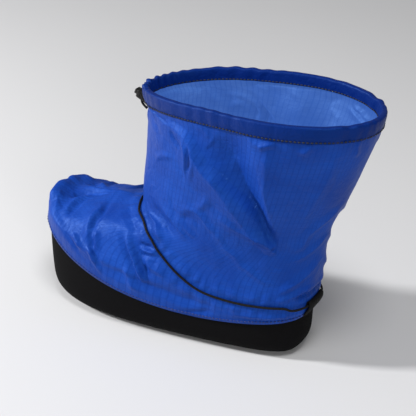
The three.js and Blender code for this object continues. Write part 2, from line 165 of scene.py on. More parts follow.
# Creases of the cloth, placed on the shell in turns and places. Height is in millimetres outward; left
# and right are how far each flank reaches, at the crease's start and end, seen from outside along its run.
# fade is how much of its height is left at start and end, and power is 1 for straight flanks, more for hollow ones.
creases = [
    # the deep fold from the collar to a point above the heel: its crest, the dent behind it and the dent's far edge
    (8.5, (6, 5), (40, 11), (0.3, 0.5), 1.05,
     [(0.152, 10.0), (0.185, 9.7), (0.208, 9.15), (0.225, 8.75), (0.252, 8.4), (0.283, 7.95), (0.309, 7.55), (0.336, 7.0), (0.356, 6.25)]),
    (-13, (36, 7), (30, 7), (0.35, 0.3), 1.0,
     [(0.23, 10.4), (0.243, 9.8), (0.258, 9.2), (0.275, 8.6), (0.298, 8.0), (0.322, 7.4), (0.344, 6.85), (0.355, 6.3)]),
    (3.4, (7, 6), (14, 5), (0.2, 0.3), 1.0, [(0.308, 10.3), (0.312, 9.4), (0.32, 8.5), (0.335, 7.7), (0.351, 6.8)]),
    (2.0, (9, 9), (20, 12), (0.1, 0.1), 1.3, [(0.205, 10.7), (0.235, 10.2), (0.25, 9.5), (0.262, 9.0), (0.275, 8.6)]),
    # its lower lip, which ends in the same point
    (3.2, (12, 5), (10, 6), (0.1, 0.9), 1.3, [(0.25, 7.35), (0.275, 7.2), (0.30, 6.95), (0.325, 6.7), (0.345, 6.45), (0.356, 6.2)]),
    # the small loop of cloth at the fold's head
    (2.6, (4, 4), (5, 4), (0.2, 0.2), 1.2, [(0.20, 9.35), (0.2085, 9.05), (0.21, 8.75), (0.208, 8.5), (0.204, 8.1)]),
    (2.6, (4, 4), (5, 5), (0.1, 0.3), 1.2, [(0.178, 9.65), (0.191, 9.3), (0.195, 9.0), (0.195, 8.6), (0.199, 8.15)]),
    (-2.6, (4, 4), (4, 4), (0.1, 0.1), 1.2, [(0.19, 9.5), (0.201, 9.15), (0.204, 8.8), (0.202, 8.45)]),
    (-2.4, (5, 4), (4, 3), (0.1, 0.3), 1.1, [(0.158, 9.8), (0.164, 9.5), (0.174, 9.3), (0.187, 9.1)]),
    (2.0, (6, 6), (4, 5), (0.1, 0.1), 1.3, [(0.12, 8.35), (0.14, 8.6), (0.165, 8.7)]),
    # the arc below it, running out towards the heel
    (3.0, (7, 6), (6, 5), (0.1, 0.1), 1.2, [(0.19, 6.95), (0.205, 7.25), (0.222, 7.3), (0.238, 7.15), (0.25, 6.85), (0.26, 6.6), (0.272, 6.2)]),
    (-2.2, (6, 5), (6, 5), (0.1, 0.1), 1.3, [(0.20, 6.75), (0.212, 6.9), (0.226, 6.85), (0.236, 6.6)]),
    (1.7, (5, 4), (6, 4), (0.6, 0.1), 1.1,
     [(0.268, 6.3), (0.288, 5.45), (0.314, 4.75), (0.335, 4.0), (0.357, 3.5), (0.376, 3.0), (0.40, 2.75)]),
    (2.2, (8, 6), (7, 6), (0.1, 0.2), 1.3, [(0.24, 7.9), (0.236, 7.6), (0.225, 7.4)]),
    # folds that run down beside the cord
    (3.6, (6, 5), (6, 6), (0.2, 0.1), 1.1, [(0.10, 6.35), (0.12, 6.0), (0.155, 5.55), (0.18, 5.0), (0.203, 4.55), (0.228, 4.1)]),
    (-2.2, (6, 5), (5, 5), (0.2, 0.1), 1.2, [(0.115, 6.9), (0.14, 6.5), (0.165, 6.1), (0.18, 5.7), (0.20, 5.25), (0.222, 4.8)]),
    (3.2, (7, 6), (7, 6), (0.1, 0.1), 1.2, [(0.14, 7.3), (0.16, 6.9), (0.18, 6.6), (0.192, 6.35), (0.21, 5.8), (0.23, 5.3)]),
    (2.0, (5, 5), (5, 5), (0.1, 0.1), 1.2, [(0.186, 6.75), (0.2, 6.55), (0.217, 6.15), (0.236, 5.7)]),
    (-1.8, (5, 5), (5, 5), (0.1, 0.1), 1.2, [(0.168, 7.45), (0.18, 7.1), (0.195, 6.8)]),
    # toe: the pinched corner on top, and rays from the crook
    (5.5, (16, 16), (16, 16), (0.0, 0.0), 1.2, [(-0.01, 2.0), (0.012, 1.9), (0.032, 1.75), (0.052, 1.5)]),
    (-3.5, (18, 16), (16, 12), (0.1, 0.1), 1.3, [(-0.12, 2.5), (-0.08, 2.3), (-0.04, 2.1), (-0.01, 2.1)]),
    (-3.4, (8, 6), (7, 6), (0.2, 0.3), 1.2, [(-0.04, 3.0), (-0.032, 3.15), (-0.026, 3.6), (-0.022, 4.2)]),
    (-3.0, (7, 6), (6, 5), (0.1, 0.1), 1.2, [(0.0, 4.0), (0.01, 3.45), (0.028, 3.15), (0.04, 2.85)]),
    (-3.2, (6, 5), (8, 8), (0.1, 0.1), 1.1, [(0.003, 4.2), (0.033, 3.6), (0.053, 3.35), (0.08, 3.07), (0.097, 2.6), (0.112, 2.1)]),
    (2.6, (6, 6), (6, 6), (0.1, 0.1), 1.2, [(0.02, 3.7), (0.042, 3.25), (0.066, 2.95), (0.088, 2.5), (0.1, 2.1)]),
    (-3.0, (5, 5), (5, 5), (0.1, 0.2), 1.1, [(0.01, 4.5), (0.066, 4.2), (0.104, 3.82), (0.131, 3.32), (0.15, 2.7), (0.162, 2.05)]),
    (3.6, (6, 5), (10, 7), (0.1, 0.2), 1.1, [(0.05, 4.1), (0.09, 3.85), (0.13, 3.1), (0.146, 2.6), (0.157, 2.15), (0.163, 1.75)]),
    (-2.6, (9, 7), (9, 7), (0.2, 0.1), 1.3, [(0.03, 5.1), (0.07, 5.1), (0.11, 4.85), (0.14, 4.55), (0.17, 4.15), (0.2, 3.55)]),
    (1.6, (7, 6), (6, 6), (0.1, 0.1), 1.3, [(0.03, 2.3), (0.06, 2.1), (0.09, 1.55)]),
    (2.2, (20, 20), (20, 20), (0.2, 0.2), 1.5, [(-0.006, 2.9), (-0.006, 3.6), (-0.006, 4.4), (-0.006, 5.1)]),
    # sharp folds on the side of the foot
    (5.0, (5, 4), (5, 4), (0.1, 0.5), 1.0, [(0.18, 3.6), (0.196, 3.1), (0.212, 2.55), (0.2245, 2.1), (0.232, 1.65), (0.237, 1.3), (0.24, 0.95)]),
    (-3.2, (4, 4), (6, 5), (0.1, 0.3), 1.1, [(0.185, 3.1), (0.196, 2.85), (0.207, 2.5), (0.216, 2.15), (0.225, 1.75), (0.23, 1.4), (0.234, 1.0)]),
    (-3.0, (6, 5), (4, 4), (0.2, 0.2), 1.1, [(0.205, 3.15), (0.225, 2.55), (0.2325, 2.15), (0.239, 1.75), (0.243, 1.25)]),
    (-3.4, (4, 4), (5, 5), (0.2, 0.3), 1.0, [(0.162, 2.3), (0.17, 1.85), (0.1745, 1.5), (0.18, 1.15), (0.186, 0.8)]),
    (3.2, (5, 5), (4, 4), (0.1, 0.4), 1.1, [(0.166, 1.65), (0.17, 1.35), (0.174, 1.05), (0.178, 0.8), (0.186, 0.55)]),
    (2.8, (5, 5), (5, 5), (0.1, 0.1), 1.1, [(0.158, 2.75), (0.1655, 2.35), (0.1725, 2.0), (0.179, 1.55)]),
    (3.0, (7, 6), (6, 6), (0.1, 0.3), 1.2, [(0.214, 1.5), (0.219, 1.15), (0.2245, 0.8), (0.2295, 0.6), (0.237, 0.5)]),
    (-2.4, (4, 4), (5, 5), (0.2, 0.1), 1.2, [(0.21, 3.3), (0.222, 3.12), (0.231, 3.3)]),
    (2.4, (4, 4), (5, 5), (0.1, 0.1), 1.2, [(0.218, 2.8), (0.23, 2.8), (0.243, 2.95)]),
    (-2.0, (4, 4), (4, 4), (0.1, 0.1), 1.2, [(0.226, 2.5), (0.236, 2.58), (0.247, 2.72)]),
    (3.0, (6, 5), (5, 5), (0.1, 0.1), 1.1, [(0.232, 2.4), (0.24, 2.15), (0.247, 2.0), (0.257, 1.85), (0.268, 1.5)]),
    (-2.0, (5, 5), (5, 5), (0.1, 0.1), 1.2, [(0.236, 1.95), (0.242, 1.7), (0.248, 1.35)]),
    # hollows just over the sole
    (-3.4, (12, 12), (9, 9), (0.1, 0.2), 1.2, [(0.17, 0.65), (0.21, 0.8), (0.25, 0.8), (0.29, 0.7), (0.33, 0.7)]),
    (-2.4, (6, 6), (5, 5), (0.2, 0.2), 1.2, [(0.12, 1.2), (0.14, 0.95), (0.155, 0.7)]),
    (2.2, (5, 5), (5, 5), (0.1, 0.1), 1.2, [(0.135, 1.75), (0.147, 1.2), (0.153, 0.85)]),
    (-2.6, (5, 4), (7, 6), (0.4, 0.1), 1.1, [(0.287, 0.1), (0.297, 0.2), (0.308, 0.33), (0.325, 0.45)]),
    (1.8, (4, 4), (4, 4), (0.1, 0.1), 1.2, [(0.335, 0.45), (0.37, 0.5), (0.40, 0.45), (0.43, 0.5), (0.455, 0.45)]),
    # low folds at the rear of the shaft, which gather towards the tab
    (2.8, (6, 6), (8, 6), (0.15, 0.1), 1.1, [(0.50, 7.9), (0.47, 7.6), (0.446, 7.35), (0.425, 7.0), (0.418, 6.5), (0.41, 6.1), (0.393, 5.75)]),
    (2.0, (6, 5), (7, 5), (0.15, 0.1), 1.2, [(0.50, 6.6), (0.47, 6.3), (0.445, 5.8), (0.425, 5.3), (0.40, 4.8)]),
    (2.8, (6, 5), (9, 6), (0.15, 0.1), 1.1, [(0.50, 4.9), (0.485, 4.5), (0.47, 3.9), (0.448, 3.3), (0.43, 2.75), (0.418, 2.3), (0.405, 1.9)]),
    (-1.6, (4, 4), (5, 4), (0.4, 0.1), 1.2, [(0.49, 4.3), (0.477, 3.9), (0.463, 3.4), (0.447, 2.8)]),
    (2.6, (6, 5), (7, 5), (0.2, 0.1), 1.1, [(0.50, 1.9), (0.475, 2.1), (0.455, 1.95), (0.43, 1.7), (0.412, 1.4)]),
    (1.8, (9, 8), (7, 7), (0.2, 0.1), 1.4, [(0.40, 10.2), (0.41, 9.0), (0.40, 7.9), (0.405, 7.0)]),
    (-3.0, (9, 9), (9, 9), (0.3, 0.3), 1.4, [(0.44, 1.7), (0.47, 1.6), (0.5, 1.55), (0.53, 1.6), (0.56, 1.7)]),
    (-2.6, (10, 8), (10, 8), (0.3, 0.3), 1.5, [(0.01, 10.4), (0.06, 10.2), (0.1, 9.9), (0.13, 9.4)]),
    # puckers under the casing
    (2.6, (5, 4), (5, 4), (0.3, 0.2), 1.2, [(0.316, 10.95), (0.311, 10.6), (0.302, 10.3), (0.301, 9.9)]),
    (1.6, (5, 5), (5, 5), (0.2, 0.2), 1.2, [(0.288, 10.45), (0.295, 10.3), (0.303, 10.2)]),
    (1.6, (5, 5), (5, 5), (0.5, 0.1), 1.2, [(0.20, 10.95), (0.215, 10.3), (0.222, 9.8)]),
    (1.8, (5, 5), (5, 5), (0.5, 0.1), 1.2, [(0.365, 10.95), (0.362, 10.4), (0.355, 9.9)]),
    (1.8, (5, 5), (4, 4), (0.5, 0.1), 1.2, [(0.44, 10.95), (0.443, 10.2), (0.45, 9.6)]),
    (2.0, (5, 5), (5, 5), (0.5, 0.1), 1.2, [(0.09, 10.95), (0.105, 10.3), (0.112, 9.5)]),
    (2.0, (5, 5), (5, 5), (0.5, 0.1), 1.2, [(0.03, 10.95), (0.04, 10.2), (0.06, 9.4)]),
]

gathers = {
    "narrow": 0.9,
    "soft": 1.2,  # slow swell of the cloth
    "crumple": 0.32,
    "stitchPucker": 0.45,
    "cordPucker": 0.6,
    "cordGroove": 0.4,
}


liningCreases = [
    (-3.0, (5, 5), (5, 5), (0.2, 0.1), 1.1, [(-0.066, 9.3), (-0.072, 9.55), (-0.099, 10.0), (-0.115, 10.5)]),
    (3.4, (5, 5), (5, 5), (0.2, 0.3), 1.0, [(-0.085, 9.4), (-0.107, 9.95), (-0.127, 10.4)]),
    (3.0, (6, 6), (5, 5), (0.5, 0.1), 1.1, [(-0.127, 10.4), (-0.131, 9.95), (-0.14, 9.6), (-0.155, 9.35)]),
    (-3.6, (5, 5), (6, 6), (0.1, 0.1), 1.1, [(-0.14, 9.85), (-0.165, 9.85), (-0.185, 9.7), (-0.198, 9.5), (-0.21, 9.3), (-0.222, 9.0)]),
    (3.0, (6, 5), (5, 5), (0.1, 0.1), 1.1, [(-0.16, 9.15), (-0.17, 9.3), (-0.19, 9.55)]),
    (-3.0, (5, 5), (5, 5), (0.1, 0.1), 1.1, [(-0.34, 10.25), (-0.365, 9.95), (-0.385, 9.8), (-0.405, 9.7)]),
    (2.6, (5, 5), (5, 5), (0.1, 0.1), 1.1, [(-0.35, 10.5), (-0.375, 10.2), (-0.40, 10.0)]),
    (-2.6, (4, 4), (5, 5), (0.1, 0.1), 1.1, [(-0.315, 9.8), (-0.325, 9.55), (-0.337, 9.3)]),
    (2.2, (6, 6), (6, 6), (0.3, 0.1), 1.2, [(-0.205, 11.1), (-0.21, 10.7), (-0.225, 10.4)]),
    (-2.2, (6, 6), (8, 8), (0.1, 0.1), 1.2, [(-0.25, 10.6), (-0.27, 10.1), (-0.28, 9.4)]),
]


def creaseLift(points, normals, rows, mirrored=False):
    lift = np.zeros(len(points))
    for height, left, right, fade, power, route in rows:
        route = np.array(route, float)
        if mirrored:
            route[:, 0] = -route[:, 0] - 0.012
            left, right = right, left
        flat = curveThrough(route * (60, 1), 12 * len(route)) / (60, 1)
        line = shellPoint(flat[:, 0], flat[:, 1])
        reach = max(*left, *right)
        height *= gathers["narrow"] + (1 - gathers["narrow"]) * smooth((reach - 9) / 12)  # narrow ones stand lower
        near = np.flatnonzero(((points > line.min(0) - reach) & (points < line.max(0) + reach)).all(1))
        start, along = line[:-1], np.diff(line, axis=0)
        size = (along ** 2).sum(1)
        offset = points[near, None] - start
        share = np.clip((offset * along).sum(-1) / size, 0, 1)
        away = offset - share[..., None] * along
        distance = np.linalg.norm(away, axis=-1)
        k = distance.argmin(1)
        pick = np.arange(len(near)), k
        run = (k + share[pick]) / len(start)
        side = (np.cross(normals[near], along[k]) * away[pick]).sum(-1) > 0
        width = np.where(side, left[0] + (left[1] - left[0]) * run, right[0] + (right[1] - right[0]) * run)
        t = np.clip(np.sqrt((distance[pick] / width) ** 2 + 0.001) - 0.02, 0, 1)
        ends = (fade[0] + (1 - fade[0]) * smooth(run / 0.3)) * (fade[1] + (1 - fade[1]) * smooth((1 - run) / 0.3))
        facing = (normals[near] * shellNormal(flat[k, 0], flat[k, 1])).sum(-1) > 0
        lift[near] += height * ends * (1 - t) ** power * facing
    return lift


ankleRoute = [
    (0.05, 5.75), (0.09, 5.5), (0.14, 5.1), (0.2, 4.05), (0.245, 2.95), (0.28, 1.97),
    (0.31, 1.4), (0.35, 1.12), (0.39, 1.04), (0.425, 0.97), (0.5, 0.82),
]


def cordDistance(points):  # distance of each point from the ankle cord's line on the shell, and how far along it
    best = np.full(len(points), 1e3)
    along = np.zeros(len(points))
    for sign in (1, -1):
        flat = curveThrough([(0, 5.85)] + ankleRoute, 120)
        line = shellPoint(sign * flat[:, 0], flat[:, 1])
        run = np.append(0, np.cumsum(np.linalg.norm(np.diff(line, axis=0), axis=1)))
        for first in range(0, len(points), 20000):
            part = slice(first, first + 20000)
            distance = np.linalg.norm(points[part, None] - line, axis=-1)
            k = distance.argmin(1)
            d = distance[np.arange(len(k)), k]
            closer = d < best[part]
            best[part] = np.where(closer, d, best[part])
            along[part] = np.where(closer, sign * run[k], along[part])
    return best, along


def noiseAt(points, scale, shift):
    return np.array([noise.noise(Vector(p) / scale + Vector((shift, 0, 0))) for p in points])


def clothLift(turn, place):
    points = shellPoint(turn, place)
    normals = shellNormal(turn, place)
    lift = creaseLift(points, normals, creases) + 0.8 * creaseLift(points, normals, creases, mirrored=True)
    lift += gathers["soft"] * noiseAt(points, 46, 3)
    ridged = 1 - 2 * np.abs(noiseAt(points * (1, 1, 0.7), 17, 11))
    fine = 1 - 2 * np.abs(noiseAt(points * (1, 1, 0.6), 8, 23))
    lift += gathers["crumple"] * (ridged + 0.4 * fine)
    around = 620 * turn
    ripple = np.sin(around / 2.1 + 5 * noiseAt(points, 25, 31)) * (0.5 + noiseAt(points, 30, 37))
    toCasing = np.abs(shoe["casing"] + 0.05 - place) * 15 * np.where(place > shoe["casing"], 1, 2)
    toSeam = np.linalg.norm(points - shellPoint(turn, 0), axis=1)
    lift += gathers["stitchPucker"] * ripple * (np.exp(-toCasing / 9) + np.exp(-np.abs(toSeam - 3.5) / 8))
    distance, along = cordDistance(points)
    lift += gathers["cordPucker"] * np.sin(along / 2.4 + 4 * noiseAt(points, 20, 41)) * np.exp(-((distance - 7) / 7) ** 2)
    calm = np.exp(-(distance / 4.5) ** 2)
    lift = lift * (1 - 0.85 * calm) - gathers["cordGroove"] * calm + 0.8 * np.exp(-((distance - 8) / 5) ** 2)
    lift *= smooth(toSeam / 9) * 0.9 + 0.1
    lift *= 1 - 0.75 * smooth((place - shoe["casing"]) / 0.08)
    return np.clip(lift, -13, 8)


def loft(name, across, along, place, closed=True):
    # A sheet of across by along faces: a grid whose vertices are put where place(u, v) says, in millimetres.
    bpy.ops.mesh.primitive_grid_add(x_subdivisions=across, y_subdivisions=along, size=2)
    sheet = bpy.context.active_object
    sheet.name = name
    mesh = sheet.data
    spot = np.empty(len(mesh.vertices) * 3)
    mesh.vertices.foreach_get("co", spot)
    uv = (spot.reshape(-1, 3)[:, :2] + 1) / 2
    mesh.vertices.foreach_set("co", (np.asarray(place(uv[:, 0], uv[:, 1])) * 0.001).ravel())
    if closed:
        bpy.ops.object.mode_set(mode="EDIT")
        bpy.ops.mesh.select_all(action="SELECT")
        bpy.ops.mesh.remove_doubles(threshold=1e-6)
        bpy.ops.object.mode_set(mode="OBJECT")
    bpy.ops.object.shade_smooth()
    return sheet


def stretchUv(sheet, width, height):  # the map in metres of cloth
    layer = sheet.data.uv_layers.active.data
    flat = np.empty(len(layer) * 2)
    layer.foreach_get("uv", flat)
    flat = flat.reshape(-1, 2) * (width, height)
    layer.foreach_set("uv", flat.ravel())


def flip(sheet):
    bpy.ops.object.select_all(action="DESELECT")
    sheet.select_set(True)
    bpy.context.view_layer.objects.active = sheet
    bpy.ops.object.mode_set(mode="EDIT")
    bpy.ops.mesh.select_all(action="SELECT")
    bpy.ops.mesh.flip_normals()
    bpy.ops.object.mode_set(mode="OBJECT")


def paint(piece, material):
    piece.data.materials.clear()
    piece.data.materials.append(material)


# Materials

def newMaterial(name, color, roughness):
    material = bpy.data.materials.new(name)
    material.use_nodes = True
    shader = material.node_tree.nodes["Principled BSDF"]
    shader.inputs["Base Color"].default_value = (*color, 1)
    shader.inputs["Roughness"].default_value = roughness
    return material, material.node_tree, shader


def addNode(tree, kind, values=None, links=None, **settings):
    node = tree.nodes.new(kind)
    for key, value in settings.items():
        setattr(node, key, value)
    for key, value in (values or {}).items():
        node.inputs[key].default_value = value
    for key, source in (links or {}).items():
        tree.links.new(source, node.inputs[key])
    return node


def math2(tree, operation, a, b):
    node = tree.nodes.new("ShaderNodeMath")
    node.operation = operation
    for i, value in enumerate((a, b)):
        if isinstance(value, (int, float)):
            node.inputs[i].default_value = value
        elif value is not None:
            tree.links.new(value, node.inputs[i])
    return node.outputs[0]


nylon = {
    "outer": (0.007, 0.044, 0.295),
    "deep": (0.002, 0.027, 0.22),
    "bright": (0.012, 0.080, 0.45),
    "gloss": 0.36,
    "glossColor": (0.12, 0.38, 1.0),
    # the casing's cloth: darker than the shell, partly for its doubled cloth and partly as painted shade; its lighter
    # tone differs at random
    "hem": (0.001, 0.014, 0.13),
    "hemBright": (0.003, 0.022, 0.17),
    "hemInside": (0.001, 0.014, 0.13),
    "inner": (0.085, 0.23, 0.80),
    "innerDeep": (0.05, 0.17, 0.70),
    "innerBright": (0.15, 0.35, 1.0),
    "innerPaintedGlow": 0.44,  # share of its colour painted on as a glow: painted light that stands in for daylight through the thin cloth
    # share of its base colour that is kept, dimmed under the painted glow
    "innerShade": 0.14,
    "grid": 0.005,  # between two ripstop threads
    "thread": 0.11,  # a thread's width, as a share of the grid
    "roughness": 0.44,
}


def ripstop(name, color, dark, light, gridDepth, inside=None):
    material, tree, shader = newMaterial(name, color, nylon["roughness"])
    uv = addNode(tree, "ShaderNodeUVMap", uv_map="UVMap")
    place = addNode(tree, "ShaderNodeTexCoord")
    split = addNode(tree, "ShaderNodeSeparateXYZ", links={"Vector": uv.outputs["UV"]})
    threads = []
    for axis, weight in (("X", 1.0), ("Y", 0.45)):
        cell = math2(tree, "FRACT", math2(tree, "DIVIDE", split.outputs[axis], nylon["grid"]), None)
        middle = math2(tree, "ABSOLUTE", math2(tree, "SUBTRACT", cell, 0.5), None)
        line = math2(tree, "LESS_THAN", middle, nylon["thread"])
        threads.append(math2(tree, "MULTIPLY", line, weight))
    grid = math2(tree, "MAXIMUM", *threads)
    cloudy = addNode(tree, "ShaderNodeTexNoise", {"Scale": 22, "Detail": 5, "Roughness": 0.6},
                     {"Vector": place.outputs["Object"]})
    ramp = addNode(tree, "ShaderNodeValToRGB", links={"Fac": cloudy.outputs["Fac"]})
    ramp.color_ramp.elements[0].position = 0.35
    ramp.color_ramp.elements[0].color = (*dark, 1)
    ramp.color_ramp.elements[1].position = 0.72
    ramp.color_ramp.elements[1].color = (*light, 1)
    mix = addNode(tree, "ShaderNodeMix", {"Factor": 0.45, "A": (*color, 1)}, data_type="RGBA")
    mix.inputs[6].default_value = (*color, 1)
    tree.links.new(ramp.outputs["Color"], mix.inputs[7])
    lined = addNode(tree, "ShaderNodeMix", data_type="RGBA")
    lined.inputs[7].default_value = (*dark, 1)
    tree.links.new(mix.outputs[2], lined.inputs[6])
    tree.links.new(math2(tree, "MULTIPLY", grid, gridDepth), lined.inputs[0])
    last = lined.outputs[2]
    if inside:  # the map's upper half is the inner face of a folded hem, painted mostly in the plain dark hem colour as painted shade inside the collar
        half = math2(tree, "GREATER_THAN", split.outputs["Y"], inside[0])
        shaded = addNode(tree, "ShaderNodeMix", data_type="RGBA")
        shaded.inputs[7].default_value = (*inside[1], 1)
        tree.links.new(last, shaded.inputs[6])
        tree.links.new(math2(tree, "MULTIPLY", half, 0.85), shaded.inputs[0])
        last = shaded.outputs[2]
    tree.links.new(last, shader.inputs["Base Color"])
    # crumpled facets: two sizes of cells whose edges are the fine creases
    facets = []
    for size, weight in ((55, 1.0), (130, 0.5)):
        warp = addNode(tree, "ShaderNodeTexNoise", {"Scale": size * 0.6, "Detail": 2},
                       {"Vector": place.outputs["Object"]})
        moved = addNode(tree, "ShaderNodeVectorMath", {"Scale": 0.02}, {"Vector": warp.outputs["Color"]}, operation="SCALE")
        spot = addNode(tree, "ShaderNodeVectorMath", links={0: place.outputs["Object"], 1: moved.outputs["Vector"]}, operation="ADD")
        cells = addNode(tree, "ShaderNodeTexVoronoi", {"Scale": size}, {"Vector": spot.outputs["Vector"]}, feature="DISTANCE_TO_EDGE")
        edge = math2(tree, "MINIMUM", cells.outputs["Distance"], 0.3)
        facets.append(math2(tree, "MULTIPLY", edge, weight))
    crumple = math2(tree, "ADD", *facets)
    height = math2(tree, "ADD", math2(tree, "MULTIPLY", crumple, 0.0016), math2(tree, "MULTIPLY", grid, 0.00006))
    weave = addNode(tree, "ShaderNodeTexNoise", {"Scale": 900, "Detail": 2}, {"Vector": place.outputs["Object"]})
    height = math2(tree, "ADD", height, math2(tree, "MULTIPLY", weave.outputs["Fac"], 0.00008))
    bump = addNode(tree, "ShaderNodeBump", {"Strength": 0.55, "Distance": 1}, {"Height": height})
    tree.links.new(bump.outputs["Normal"], shader.inputs["Normal"])
    rough = addNode(tree, "ShaderNodeMapRange", {"From Min": 0.3, "From Max": 0.7, "To Min": 0.44, "To Max": 0.6},
                    {"Value": cloudy.outputs["Fac"]})
    tree.links.new(rough.outputs["Result"], shader.inputs["Roughness"])
    shader.inputs["Specular IOR Level"].default_value = nylon["gloss"]
    shader.inputs["Specular Tint"].default_value = (*nylon["glossColor"], 1)
    return material


shellCloth = ripstop("shellCloth", nylon["outer"], nylon["deep"], nylon["bright"], 0.5)
hemCloth = ripstop("hemCloth", nylon["hem"], nylon["hemInside"], nylon["hemBright"], 0.4, (0.024, nylon["hemInside"]))
liningCloth = ripstop("liningCloth", nylon["inner"], nylon["innerDeep"], nylon["innerBright"], 0.45)
# The lining glows in its own cloth colour: painted light that stands in for daylight through the thin cloth, over a
# dimmed base colour.
liningTree = liningCloth.node_tree
liningShader = liningTree.nodes["Principled BSDF"]
clothColor = liningShader.inputs["Base Color"].links[0].from_socket
dimmed = addNode(liningTree, "ShaderNodeVectorMath", {"Scale": nylon["innerShade"]}, {0: clothColor}, operation="SCALE")
liningTree.links.new(dimmed.outputs["Vector"], liningShader.inputs["Base Color"])
liningTree.links.new(clothColor, liningShader.inputs["Emission Color"])
liningShader.inputs["Emission Strength"].default_value = nylon["innerPaintedGlow"]

sheets = {
    "around": 440,
    "shellRows": 200,
    "casingRows": 26,
    "liningRows": 120,
    "casingProud": 0.8,
    "casingDepth": -4.6,  # inner face of the casing
}


def shellSheet(u, v):
    place = v * shoe["casing"]
    place = np.where(v < 0.012, 0, place)
    lift = clothLift(u, place)
    inward = np.where(v < 0.004, -shoe["wall"], 0)
    return shellPoint(u, place) + shellNormal(u, place) * (lift + inward)[:, None]


shell = loft("shell", sheets["around"], sheets["shellRows"], shellSheet)
stretchUv(shell, 0.62, 0.27)
paint(shell, shellCloth)
print("shell", len(shell.data.polygons))

# v along the casing: up its outer face, over the fold and down its inner face
casingOutline = [
    (-0.02, 0), (0, 0.45), (0.05, 0.8), (0.12, 0.85), (0.3, 1.15), (0.5, 1.25), (0.7, 1.1), (0.87, 0.8), (0.96, 0.1), (1, -1.0),
    (1, -2.6), (0.96, -3.8), (0.87, -4.5), (0.6, -4.7), (0.4, -4.6), (0.27, -4.4), (0.22, -3.6), (0.2, -1.6),
]


def casingSheet(u, v):
    outline = curveThrough(casingOutline, 400)
    k = np.clip((v * 399).round().astype(int), 0, 399)
    place = np.clip(shoe["casing"] + outline[k, 0], 0, shoe["collar"])
    lift = clothLift(u, place)
    # the folded edge is pulled a little by its cord
    wave = 0.6 * np.sin(u * 2 * math.pi * 17 + 4 * np.sin(u * 2 * math.pi * 3))
    wave += 0.5 * np.sin(u * 2 * math.pi * 41 + 3 * np.sin(u * 2 * math.pi * 4))
    wave *= 0.5 + 0.5 * np.sin(u * 2 * math.pi * 5 + 1)
    fromMouth = np.abs((u + 0.5) % 1 - 0.5)
    wave += 0.9 * np.sin(fromMouth * 2 * math.pi * 48) * np.exp(-(fromMouth / 0.09) ** 2)
    base = shellPoint(u, place) + shellNormal(u, place) * (lift + outline[k, 1] + wave * smooth(outline[k, 0] / 0.2) * 0.8)[:, None]
    base[:, 2] += wave * smooth((outline[k, 0] - 0.5) / 0.5) * 0.9
    return base


casing = loft("casing", sheets["around"], sheets["casingRows"] * 2, casingSheet)
stretchUv(casing, 0.62, 0.045)
paint(casing, hemCloth)


def liningSheet(u, v):
    place = v * (shoe["casing"] + 0.24)
    points, normals = shellPoint(u, place), shellNormal(u, place)
    lift = clothLift(u, place) - shoe["wall"]
    folds = creaseLift(points, normals, liningCreases) + 0.7 * creaseLift(points, normals, liningCreases, mirrored=True)
    lift -= np.abs(folds)  # all of them into the shoe, clear of the shell
    return points + normals * lift[:, None]


lining = loft("lining", 300, sheets["liningRows"], liningSheet)
flip(lining)
stretchUv(lining, 0.62, 0.27)
paint(lining, liningCloth)
for piece in (shell, casing, lining):
    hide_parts("upper")
    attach(piece, "shoe")
print("casing and lining", len(casing.data.polygons), len(lining.data.polygons))

# Sole and footbed: copies of the solids, made smooth


def smoothCopy(node, name, levels):
    bpy.ops.object.select_all(action="DESELECT")
    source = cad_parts[node]
    copy = source.copy()
    copy.data = source.data.copy()
    copy.name = name
    for key in list(copy.keys()):
        del copy[key]
    copy.parent = None
    bpy.context.scene.collection.objects.link(copy)
    copy.select_set(True)
    bpy.context.view_layer.objects.active = copy
    bpy.ops.object.mode_set(mode="EDIT")
    bpy.ops.mesh.select_all(action="SELECT")
    bpy.ops.mesh.remove_doubles(threshold=2e-5)
    bpy.ops.mesh.tris_convert_to_quads(face_threshold=math.radians(40), shape_threshold=math.radians(60))
    bpy.ops.object.mode_set(mode="OBJECT")
    if levels:
        finish = copy.modifiers.new("Subdivision", "SUBSURF")
        finish.levels = finish.render_levels = levels
        bpy.ops.object.modifier_apply(modifier=finish.name)
    bpy.ops.object.shade_smooth()
    return copy


gripCloth, gripTree, gripShader = newMaterial("gripCloth", (0.0036, 0.0034, 0.0039), 0.8)
gripPlace = addNode(gripTree, "ShaderNodeTexCoord")
grain = addNode(gripTree, "ShaderNodeTexNoise", {"Scale": 700, "Detail": 4, "Roughness": 0.7}, {"Vector": gripPlace.outputs["Object"]})
pebble = addNode(gripTree, "ShaderNodeTexVoronoi", {"Scale": 900}, {"Vector": gripPlace.outputs["Object"]})
gripHeight = math2(gripTree, "ADD", math2(gripTree, "MULTIPLY", grain.outputs["Fac"], 0.0003), math2(gripTree, "MULTIPLY", pebble.outputs["Distance"], 0.0002))
gripBump = addNode(gripTree, "ShaderNodeBump", {"Strength": 0.7, "Distance": 1}, {"Height": gripHeight})
gripTree.links.new(gripBump.outputs["Normal"], gripShader.inputs["Normal"])
gripShader.inputs["Specular IOR Level"].default_value = 0.06

sole = smoothCopy("outsole", "sole", 2)
paint(sole, gripCloth)
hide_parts("outsole")
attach(sole, "shoe")

